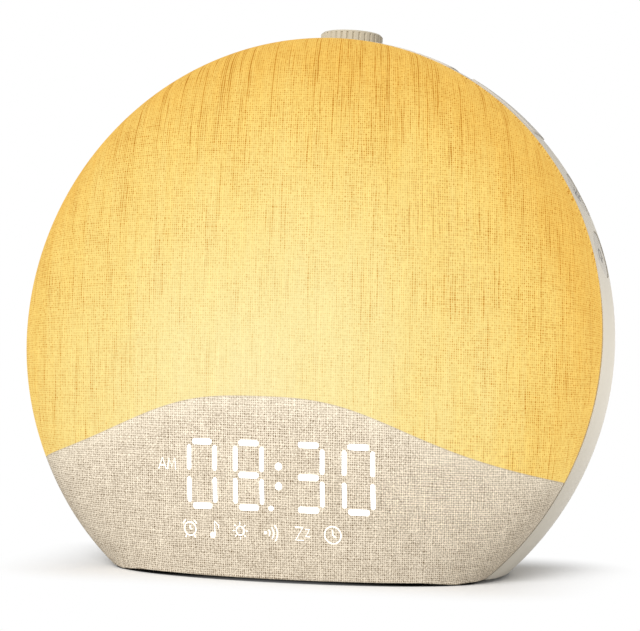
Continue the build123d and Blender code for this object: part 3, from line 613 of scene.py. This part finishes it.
def cloth_column(angle):
    """Points of the cloth from the apex out to the edge and round into the hem."""
    end = cloth_end(angle)
    column = []
    for ring in range(1, CLOTH_RINGS + 1):
        lift = radians(90) + (end - radians(90)) * ring / CLOTH_RINGS
        radius = RIM * cos(lift) + (edge_radius(angle) - RIM) * cos(lift) ** ROLL_POWER
        column.append(on_face(radius * cos(angle), radius * sin(angle), BULGE * sin(lift)))
    start = column[-1]
    middle = on_face(0, 0, 0)
    inwards = Vector((middle.x - start.x, middle.y - start.y, 0)).normalized()
    share_of_foot = eased(past_corner(angle) / CORNER_BLEND) if end > 0 else 0.0
    steps = [(i + 1) / FOLD_STEPS for i in range(FOLD_STEPS)]
    steps += [1 + (i + 1) / HEM_STEPS for i in range(HEM_STEPS)]
    for share in steps:
        at_rim, at_foot = rim_fold(angle, share), foot_fold(start, inwards, share)
        if end > 0:
            edge = edge_radius(angle)
            at_rim = at_rim + (start - on_face(edge * cos(angle), edge * sin(angle), 0))
            at_rim.z = max(at_rim.z, foot_level(angle))
        column.append(at_rim.lerp(at_foot, share_of_foot))
    return column


def cloth_angles():
    """Angles round the face, with one exactly at each corner of the foot."""
    corner = foot_corner()
    far_corner = -radians(180) - corner
    rim_span = radians(360) - (corner - far_corner)
    rim = [corner + rim_span * i / RIM_STEPS for i in range(RIM_STEPS)]
    rim = [angle if angle <= radians(180) else angle - radians(360) for angle in rim]
    foot = [far_corner + (corner - far_corner) * i / FOOT_STEPS for i in range(FOOT_STEPS)]
    return rim + foot


def arc_to(radius):
    """Length along the dome from its apex out to a radius."""
    length, last = 0.0, (0.0, BULGE)
    for i in range(1, ARC_STEPS + 1):
        lift = acos(min(radius / RIM, 1.0) * i / ARC_STEPS)
        point = (RIM * cos(lift), BULGE * sin(lift))
        length += hypot(point[0] - last[0], point[1] - last[1])
        last = point
    return length


def mark_cloth(mesh):
    """Stores where each point lies on the face and along the threads."""
    to_face = FACE.inverted()
    face_place = mesh.attributes.new("face_place", "FLOAT_VECTOR", "POINT")
    thread_place = mesh.attributes.new("thread_place", "FLOAT_VECTOR", "POINT")
    for vertex in mesh.vertices:
        local = to_face @ vertex.co
        face_place.data[vertex.index].vector = local
        radius = hypot(local.x, local.y)
        along = arc_to(radius) / radius if radius > 0 else 1.0
        behind = max(-local.z, 0.0)
        shift = THREAD_SHEAR * vertex.co.y
        place = (local.x * along + shift, local.y * along, behind)
        thread_place.data[vertex.index].vector = place


def linen_front():
    columns = [cloth_column(angle) for angle in cloth_angles()]
    maker = bmesh.new()
    apex = maker.verts.new(on_face(0, 0, BULGE))
    rows = [[maker.verts.new(point) for point in column] for column in columns]
    for i, row in enumerate(rows):
        following = rows[(i + 1) % len(rows)]
        maker.faces.new((apex, row[0], following[0]))
        for k in range(len(row) - 1):
            maker.faces.new((row[k], row[k + 1], following[k + 1], following[k]))
    area = sum(face.calc_area() for face in maker.faces)
    piece = add_piece("linen_front", maker, FINISHES["linen"], "case")
    mark_cloth(piece.data)
    smooth_shaded(piece)
    thicken = piece.modifiers.new("cloth", "SOLIDIFY")
    thicken.thickness, thicken.offset = CLOTH_THICKNESS, -1.0
    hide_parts("front_fabric")
    width = 2 * (arc_to(RIM) + CLOTH_HEM)
    foot_radius = RIM * cos(cloth_end(-radians(90)))
    length = arc_to(RIM) + arc_to(foot_radius) + 2 * CLOTH_HEM
    flat = (width / CLOTH_STRETCH, length / CLOTH_STRETCH)
    cut = area / CLOTH_STRETCH**2


# ------------------------------------------------------------------ light through the cloth
def on_cloth(x, y, proud):
    """Point over a place on the face, just proud of the cloth."""
    return on_face(x, y, dome_depth(x, y) + LIGHT_PROUD + proud / 2)


def flat_light(name, outlines):
    """Flat shapes of light laid on the cloth and given a little thickness."""
    maker = bmesh.new()
    for outline in outlines:
        top = [maker.verts.new(on_cloth(x, y, LIGHT_PROUD)) for x, y in outline]
        low = [maker.verts.new(on_cloth(x, y, -LIGHT_PROUD)) for x, y in outline]
        maker.faces.new(top)
        maker.faces.new(list(reversed(low)))
        for i in range(len(top)):
            j = (i + 1) % len(top)
            maker.faces.new((top[j], top[i], low[i], low[j]))
    add_piece(name, maker, DIGIT_LIGHT, "case")


def bar_outline(centre, size, upright):
    """Bar of a digit: long, with blunt ends."""
    half, side = size[0] / 2, size[1] / 2
    blunt = side * BAR_BLUNT
    points = [
        (half, -blunt), (half, blunt), (half - BAR_TIP, side), (BAR_TIP - half, side),
        (-half, blunt), (-half, -blunt), (BAR_TIP - half, -side), (half - BAR_TIP, -side),
    ]
    if upright:
        points = [(-y, x) for x, y in points]
    return [(centre[0] + x, centre[1] + y) for x, y in points]


# bars: middle of each as shares of the half width and half height, and whether it is upright
BARS = {
    "top": (0, 1, False), "middle": (0, 0, False), "bottom": (0, -1, False),
    "left_high": (-1, 0.5, True), "right_high": (1, 0.5, True),
    "left_low": (-1, -0.5, True), "right_low": (1, -0.5, True),
}
LIT_BARS = {
    "0": ("top", "bottom", "left_high", "right_high", "left_low", "right_low"),
    "8": tuple(BARS),
    "3": ("top", "middle", "bottom", "right_high", "right_low"),
}


def arc_points(centre, radius, start=0.0, span=360.0, count=36):
    """Points of an arc, or of a full ring that ends where it starts."""
    turns = [radians(start + span * i / count) for i in range(count + 1)]
    return [(centre[0] + radius * cos(turn), centre[1] + radius * sin(turn)) for turn in turns]


def dot_outline(centre, radius):
    """Round dot of the colon or the point, without the last point, which closes it."""
    return arc_points(centre, radius, count=28)[:-1]


def digit_lights():
    for number, (figure, centre) in enumerate(zip(DIGITS, DIGIT_CENTRES), 1):
        outlines = []
        for name in LIT_BARS[figure]:
            side, rise, upright = BARS[name]
            middle = (centre + side * DIGIT_WIDTH / 2, DIGIT_MIDDLE + rise * DIGIT_HEIGHT / 2)
            outlines.append(bar_outline(middle, UPRIGHT_BAR if upright else LEVEL_BAR, upright))
        flat_light(f"digit_light_{number}", outlines)
    dots = [
        dot_outline((COLON_X, DIGIT_MIDDLE + COLON_SPREAD / 2), COLON_RADIUS),
        dot_outline((COLON_X, DIGIT_MIDDLE - COLON_SPREAD / 2), COLON_RADIUS),
        dot_outline((POINT_X, DIGIT_MIDDLE - DIGIT_HEIGHT / 2), POINT_RADIUS),
    ]
    flat_light("colon_lights", dots)


# ------------------------------------------------------------------ signs drawn with a pen
SAME_PLACE = 1e-7  # a line whose ends are nearer than this is closed


def pen_lines(name, lines, pen, lay, proud, finish, body):
    """Lines of one pen width laid on a surface; lay turns (x, y, height) into a point."""
    curve = bpy.data.curves.new(name, "CURVE")
    curve.dimensions = "3D"
    curve.bevel_depth = pen / 2
    curve.bevel_resolution = 3
    curve.use_fill_caps = True
    for line in lines:
        closed = hypot(line[0][0] - line[-1][0], line[0][1] - line[-1][1]) < SAME_PLACE
        points = line[:-1] if closed else line
        spline = curve.splines.new("POLY")
        spline.points.add(len(points) - 1)
        for point, (x, y) in zip(spline.points, points):
            point.co = (x, y, 0, 1)
        spline.use_cyclic_u = closed
    holder = placed(name + "_pen", curve)
    mesh = finished_mesh(holder)
    bpy.data.objects.remove(holder)
    maker = bmesh.new()
    maker.from_mesh(mesh)
    bpy.data.meshes.remove(mesh)
    for vertex in maker.verts:
        height = vertex.co.z / (pen / 2) * proud
        vertex.co = lay(vertex.co.x, vertex.co.y, height)
    smooth_shaded(add_piece(name, maker, finish, body))


def moved(lines, x, y, size):
    return [[(x + px * size, y + py * size) for px, py in line] for line in lines]


def rays(turns, inner, outer):
    """Short lines that point away from the middle, at angles in degrees."""
    return [
        [(reach * cos(radians(turn)), reach * sin(radians(turn))) for reach in (inner, outer)]
        for turn in turns
    ]


def letters_am():
    """The letters of the morning marker, on a grid one letter high."""
    a = [[(0, 0), (0.39, 1), (0.78, 0)], [(0.13, 0.34), (0.65, 0.34)]]
    m = [[(0.93, 0), (1.03, 1), (1.33, 0.2), (1.63, 1), (1.72, 0)]]
    return a + m


def snooze_sign():
    big = [[(-0.9, 0.75), (0.1, 0.75), (-0.9, -0.8), (0.15, -0.8)]]
    small = [[(0.42, 0.52), (0.92, 0.52), (0.42, -0.34), (0.97, -0.34)]]
    return big + small


def clock_sign():
    return [arc_points((0, 0), 1.0), [(-0.02, 0.6), (-0.02, -0.02), (0.38, -0.28)]]


def alarm_sign():
    lines = [arc_points((0, 0), 0.82), [(0, 0.45), (0, 0.0), (0.3, -0.02)]]
    for side in (-1, 1):
        lines.append([(side * 0.98, 0.66), (side * 0.62, 1.08)])
        lines.append([(side * 0.52, -0.76), (side * 0.72, -1.06)])
    return lines


def note_sign():
    stem = [(0.12, -0.62), (0.12, 1.05), (0.66, 0.5), (0.6, 0.16)]
    head = [arc_points((-0.2, -0.66), radius, count=16) for radius in (0.30, 0.14)]
    return [stem] + head


def sun_sign():
    return [arc_points((0, 0), 0.64)] + rays(range(0, 360, 45), 0.90, 1.2)


def waves_sign():
    """Sound waves spreading from a dot, for the speaker's wireless mode."""
    source = (-0.8, -0.1)
    waves = [arc_points(source, radius, -38, 76, 14) for radius in (0.62, 1.14, 1.66)]
    return [arc_points(source, 0.14, count=12)] + waves


def lamp_sign():
    """Half a sun over a short line, for the lamp's key."""
    sun, foot = arc_points((0, 0), 0.55), [(-0.3, -0.95), (0.3, -0.95)]
    return [sun, foot] + rays(range(0, 181, 45), 0.95, 1.35)


def bell_sign():
    left = [(-0.95, -0.55), (-0.6, -0.2), (-0.55, 0.45), (0, 0.95)]
    right = [(-x, y) for x, y in reversed(left)]
    return [left + right[1:] + left[:1], arc_points((0, -0.95), 0.16, count=12)]


# sign: how it is drawn, its place across in millimetres and half its height
SIGNS = {
    "alarm": (alarm_sign, -24.75, 2.3),
    "note": (note_sign, -17.0, 2.35),
    "sun": (sun_sign, -8.7, 1.95),
    "waves": (waves_sign, 0.9, 2.2),
    "snooze": (snooze_sign, 10.3, 2.35),
    "clock": (clock_sign, 19.3, 2.4),
}
MARKER_LETTER = 3.3 * MM
MARKER_HALF_WIDTH = 0.86 * MARKER_LETTER


def sign_light(name, lines, pen):
    pen_lines(name, lines, pen, on_cloth, LIGHT_PROUD, SIGN_LIGHT, "case")


def sign_lights():
    for name, (draw, x, size) in SIGNS.items():
        sign_light(f"{name}_sign_light", moved(draw(), x * MM, SIGN_LEVEL, size * MM), SIGN_PEN)
    left, foot = MARKER_X - MARKER_HALF_WIDTH, DIGIT_MIDDLE + MARKER_RISE - MARKER_LETTER / 2
    sign_light("morning_marker_light", moved(letters_am(), left, foot, MARKER_LETTER), MARKER_PEN)


# ------------------------------------------------------------------ prints on the pill keys
# pill key: its angle round the rim in degrees and its sign
PILL_KEYS = {"pill_key_upper": (30.19, lamp_sign), "pill_key_lower": (18.0, bell_sign)}


def key_matrix(angle):
    """Frame of a rim key in the table frame: X along the rim, Y to the face, Z outwards."""
    turn = radians(angle)
    out = Vector((cos(turn), sin(turn), 0))
    along = Vector((-sin(turn), cos(turn), 0))
    columns = Matrix((along, out.cross(along), out)).transposed().to_4x4()
    return FACE @ Matrix.Translation((0, 0, -KEY_DEPTH)) @ columns


def key_layer(node, angle):
    """Function that drops a point onto the top of a key."""
    mesh = NODES[node].data
    tree = BVHTree.FromPolygons([v.co for v in mesh.vertices], [p.vertices for p in mesh.polygons])
    place = key_matrix(angle)
    inwards = -(place.to_3x3() @ Vector((0, 0, 1)))

    def lay(x, y, height):
        start = place @ Vector((x, y, SHELL_RADIUS + KEY_APPROACH))
        hit = tree.ray_cast(start, inwards)[0]
        return hit - inwards * (PRINT_PROUD + height / 2)

    return lay


def key_prints():
    for node, (angle, draw) in PILL_KEYS.items():
        upright = [[(y, -x) for x, y in line] for line in draw()]  # X runs up the rim on the right
        pen_lines(
            f"{node}_print", moved(upright, 0, 0, PRINT_SIZE), PRINT_PEN, key_layer(node, angle),
            PRINT_PROUD, KEY_PRINT, node,
        )


# ------------------------------------------------------------------ screws in the back
def recess_cutter():
    """Crossed bars, half sunk in the outer face of each screw head."""
    cutter = bmesh.new()
    head_face = -(SCREW_SEAT + SCREW_HEAD_HEIGHT)
    for x in (-SCREW_ACROSS, SCREW_ACROSS):
        for y in (-SCREW_UP, SCREW_UP):
            for wide, tall in ((RECESS_LENGTH, RECESS_WIDTH), (RECESS_WIDTH, RECESS_LENGTH)):
                bar = bmesh.ops.create_cube(cutter, size=1.0)["verts"]
                bmesh.ops.scale(cutter, vec=(wide, tall, 2 * RECESS_DEPTH), verts=bar)
                bmesh.ops.transform(
                    cutter, matrix=FACE @ Matrix.Translation((x, y, head_face)), verts=bar
                )
    return placed("recess_cutter", mesh_from("recess_cutter", cutter))


def back_screws():
    """The four long screws, with a cross recess in each head."""
    maker = bmesh.new()
    maker.from_mesh(NODES["front_screws"].data)
    piece = add_piece("cross_head_screws", maker, FINISHES["screw_steel"], "case")
    cutter = recess_cutter()
    cut = piece.modifiers.new("recess", "BOOLEAN")
    cut.operation, cut.object, cut.solver, cut.use_self = "DIFFERENCE", cutter, "EXACT", True
    done = finished_mesh(piece)
    piece.modifiers.clear()
    piece.data = done
    bpy.data.objects.remove(cutter)
    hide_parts("front_screws")


# ------------------------------------------------------------------ frame nodes
def dress_nodes():
    """Gives every CAD node its own finish."""
    slots = {row["node"]: row["material_slot"] for row in frame["record"]["subparts"]}
    for name, node in NODES.items():
        node.data.materials.clear()
        node.data.materials.append(FINISHES[slots[name]])


# ------------------------------------------------------------------ stage
CAMERA_AIM = Vector((3.46 * MM, 0.62 * MM, 75.1 * MM))
CAMERA_AZIMUTH, CAMERA_ELEVATION = 19.94, 3.82  # degrees
CAMERA_DISTANCE = 1.0187
CAMERA_LENS, CAMERA_SENSOR = 194.9, 36.0  # millimetres, as the camera counts them
BACKGROUND = (1.0, 1.0, 1.0, 1.0)
ROOM_LIGHT = 0.55

TABLE_HALF = 6.0  # half its side
TABLE_GREY = (0.86, 0.86, 0.86, 1.0)
TABLE_UNSEEN_GREY = (0.5, 0.5, 0.5, 1.0)
FOOT_HALF_WIDTH, FOOT_HALF_DEPTH = 57 * MM, 22 * MM
SHADOW_START, SHADOW_REACH = 1 * MM, 63 * MM  # the table fades to white between these
SHADOW_NARROW_X, SHADOW_NARROW_Y = 1.6, 2.2  # the fade is this much shorter along each axis
# the painted shadow under the clock reaches this far back and fades out over this much
UNDERSIDE_BACK = 8 * MM
UNDERSIDE_SOFT = 3 * MM
# painted shadow on the table in the gap below the clock
PAINTED_UNDERSIDE_SHADOW = (0.05, 0.05, 0.05, 1.0)  # table in the gap below the clock


def aim(holder, target, azimuth, elevation, distance):
    """Puts a lamp or the camera at its distance from a target and turns it there."""
    turn, rise = radians(azimuth), radians(elevation)
    back = Vector((sin(turn) * cos(rise), -cos(turn) * cos(rise), sin(rise)))
    holder.location = target + back * distance
    holder.rotation_mode = "QUATERNION"
    holder.rotation_quaternion = (-back).to_track_quat("-Z", "Y")


def seen_rays(finish):
    """1 for what is seen straight, mirrored or through glass, 0 for light on the object."""
    straight = finish.node("LightPath", output="Is Camera Ray")
    mirrored = finish.node("LightPath", output="Is Glossy Ray")
    through = finish.node("LightPath", output="Is Transmission Ray")
    return finish.math("MINIMUM", straight + mirrored + through, 1.0)


def painted_shadow_under_clock(finish, x, y):
    """1 on the table in the gap between the foot and the dome's overhang, where shadow is painted."""
    drop = FLOOR - FACE_CENTRE
    up = y * LEAN_SIN + drop * LEAN_COS
    out = finish.math("MAXIMUM", drop * LEAN_SIN - y * LEAN_COS, 0.0)
    inside = (x * x + up * up) / RIM**2 + out * out / BULGE**2  # 1 on the cloth itself
    below = finish.smooth(inside, 0.99, 0.97)
    below = below * finish.smooth(y, UNDERSIDE_BACK, UNDERSIDE_BACK - UNDERSIDE_SOFT)
    return below * finish.smooth(abs(x), FOOT_HALF_WIDTH, FOOT_HALF_WIDTH - UNDERSIDE_SOFT)


def table_white():
    """Matt grey at the clock's foot, for its shadow, with painted shadow in the gap under the clock,
    passing into the white behind it.
    """
    finish = Finish("table_white")
    x, y, _ = finish.parts_of(finish.place())
    out_x = finish.math("MAXIMUM", abs(x) - FOOT_HALF_WIDTH, 0.0) * SHADOW_NARROW_X
    out_y = finish.math("MAXIMUM", abs(y) - FOOT_HALF_DEPTH, 0.0) * SHADOW_NARROW_Y
    away = finish.math("SQRT", out_x * out_x + out_y * out_y)
    fade = finish.smooth(away, SHADOW_START, SHADOW_REACH)
    # the table's grey, darkened by painted shadow under the clock
    grey = finish.mix(painted_shadow_under_clock(finish, x, y), TABLE_GREY, PAINTED_UNDERSIDE_SHADOW)
    matt = finish.node("BsdfDiffuse", sockets={"Color": grey})
    unseen = finish.node("BsdfDiffuse", sockets={"Color": TABLE_UNSEEN_GREY})
    white = finish.node("Emission", sockets={"Color": BACKGROUND, "Strength": 1.0})
    faded = finish.node("MixShader", sockets={0: fade, 1: matt, 2: white})
    shown = finish.node("MixShader", sockets={0: seen_rays(finish), 1: unseen, 2: faded})
    finish.node("OutputMaterial", sockets={"Surface": shown})
    return finish.material


def table_top():
    mesh = bpy.data.meshes.new("table_top")
    corners = [(-1, -1), (1, -1), (1, 1), (-1, 1)]
    mesh.from_pydata([(x * TABLE_HALF, y * TABLE_HALF, 0) for x, y in corners], [], [(0, 1, 2, 3)])
    mesh.materials.append(table_white())
    placed("table_top", mesh)


def surroundings():
    """White where it is seen, dimmer where it lights the clock."""
    world = bpy.data.worlds.new("studio")
    bpy.context.scene.world = world
    finish = Finish("studio", world)
    dim = finish.node("Background", sockets={"Color": BACKGROUND, "Strength": ROOM_LIGHT})
    white = finish.node("Background", sockets={"Color": BACKGROUND, "Strength": 1.0})
    shown = finish.node("MixShader", sockets={0: seen_rays(finish), 1: dim, 2: white})
    finish.node("OutputWorld", sockets={"Surface": shown})


def softbox(name, azimuth, elevation, distance, size, power, spread=180):
    """Square area lamp aimed at the clock; angles in degrees, power in watts."""
    lamp = bpy.data.lights.new(name, "AREA")
    lamp.shape, lamp.size, lamp.energy = "SQUARE", size, power
    lamp.spread = radians(spread)
    aim(placed(name, lamp), on_face(0, 0), azimuth, elevation, distance)


def camera():
    data = bpy.data.cameras.new("camera")
    data.lens, data.sensor_width = CAMERA_LENS, CAMERA_SENSOR
    holder = placed("camera", data)
    aim(holder, CAMERA_AIM, CAMERA_AZIMUTH, CAMERA_ELEVATION, CAMERA_DISTANCE)
    bpy.context.scene.camera = holder


bpy.context.scene.view_settings.view_transform = "Standard"
camera()
surroundings()
table_top()
softbox("key_light", azimuth=-9, elevation=30, distance=1.4, size=0.9, power=18.5)
softbox("side_light", azimuth=98, elevation=-5, distance=0.34, size=0.05, power=0.022, spread=42)

dress_nodes()
linen_front()
digit_lights()
sign_lights()
key_prints()
back_screws()
